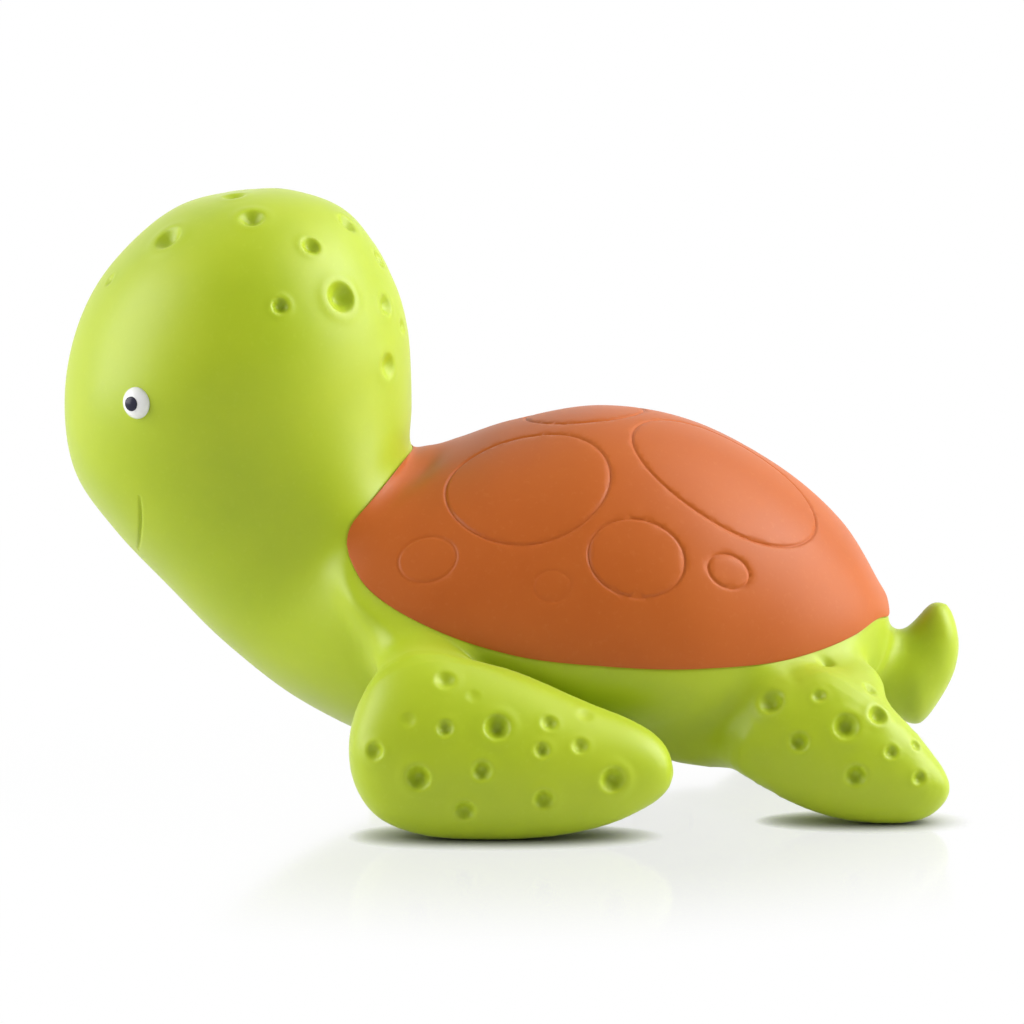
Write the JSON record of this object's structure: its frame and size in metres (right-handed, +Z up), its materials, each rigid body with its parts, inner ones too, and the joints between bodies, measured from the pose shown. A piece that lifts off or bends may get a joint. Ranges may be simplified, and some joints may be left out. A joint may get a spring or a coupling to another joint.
{
  "type": "squeaky bath toy",
  "caption": "Hollow rubber sea turtle bath toy with a domed shell, flexing flippers, a turning head and a belly panel that is pressed in to sound a reed squeaker.",
  "frame": {"origin": "middle of the toy's box, on the table under its flippers", "axes": "+X from the head to the tail, +Y to the turtle's right, +Z up"},
  "size_m": [0.119, 0.082, 0.0795],
  "materials": {
    "green_rubber": "satin moulded rubber",
    "orange_rubber": "satin painted rubber",
    "eye_white": "glossy",
    "pupil_navy": "glossy",
    "squeaker_plastic": "moulded",
    "reed_brass": "rolled strip"
  },
  "bodies": {
    "trunk": {"lower_body": "green_rubber", "shell": "orange_rubber"},
    "head": {"head": "green_rubber", "eye_white_left": "eye_white", "eye_white_right": "eye_white", "pupil_left": "pupil_navy", "pupil_right": "pupil_navy"},
    "front_flipper_left": {"front_flipper_left": "green_rubber"},
    "front_flipper_right": {"front_flipper_right": "green_rubber"},
    "rear_flipper_left": {"rear_flipper_left": "green_rubber"},
    "rear_flipper_right": {"rear_flipper_right": "green_rubber"},
    "tail": {"tail": "green_rubber"},
    "belly": {"belly_panel": "green_rubber", "squeaker_case": "squeaker_plastic", "squeaker_reed_plate": "squeaker_plastic", "squeaker_cap": "squeaker_plastic"},
    "reed": {"squeaker_reed": "reed_brass"}
  },
  "joints": [
    {"name": "head_turn", "type": "hinge", "parent": "trunk", "child": "head", "pos_m": [-0.02902, 0, 0.02867], "axis": [-0.7318, 0, 0.6815], "range_deg": [-12, 12], "stiffness_Nm_per_rad": 0.15},
    {"name": "front_left_flex", "type": "hinge", "parent": "trunk", "child": "front_flipper_left", "pos_m": [-0.01654, -0.01829, 0.0135], "axis": [0, 0, -1], "range_deg": [0, 12], "stiffness_Nm_per_rad": 0.06},
    {"name": "front_right_flex", "type": "hinge", "parent": "trunk", "child": "front_flipper_right", "pos_m": [-0.01654, 0.01829, 0.0135], "axis": [0, 0, 1], "range_deg": [0, 12], "stiffness_Nm_per_rad": 0.06},
    {"name": "rear_left_flex", "type": "hinge", "parent": "trunk", "child": "rear_flipper_left", "pos_m": [0.02851, -0.02006, 0.0135], "axis": [0, 0, -1], "range_deg": [0, 12], "stiffness_Nm_per_rad": 0.06},
    {"name": "rear_right_flex", "type": "hinge", "parent": "trunk", "child": "rear_flipper_right", "pos_m": [0.02851, 0.02006, 0.0135], "axis": [0, 0, 1], "range_deg": [0, 12], "stiffness_Nm_per_rad": 0.06},
    {"name": "tail_wag", "type": "hinge", "parent": "trunk", "child": "tail", "pos_m": [0.04611, 0, 0.0166], "axis": [0, 0, 1], "range_deg": [-10, 10], "stiffness_Nm_per_rad": 0.012},
    {"name": "belly_squeeze", "type": "slide", "parent": "trunk", "child": "belly", "axis": [0, 0, 1], "range_m": [0, 0.004], "stiffness_N_per_m": 600},
    {"name": "reed_flutter", "type": "hinge", "parent": "belly", "child": "reed", "pos_m": [0.0048, 0, 0.0114], "axis": [0, -1, 0], "range_deg": [-2, 6], "stiffness_Nm_per_rad": 0.0002}
  ]
}
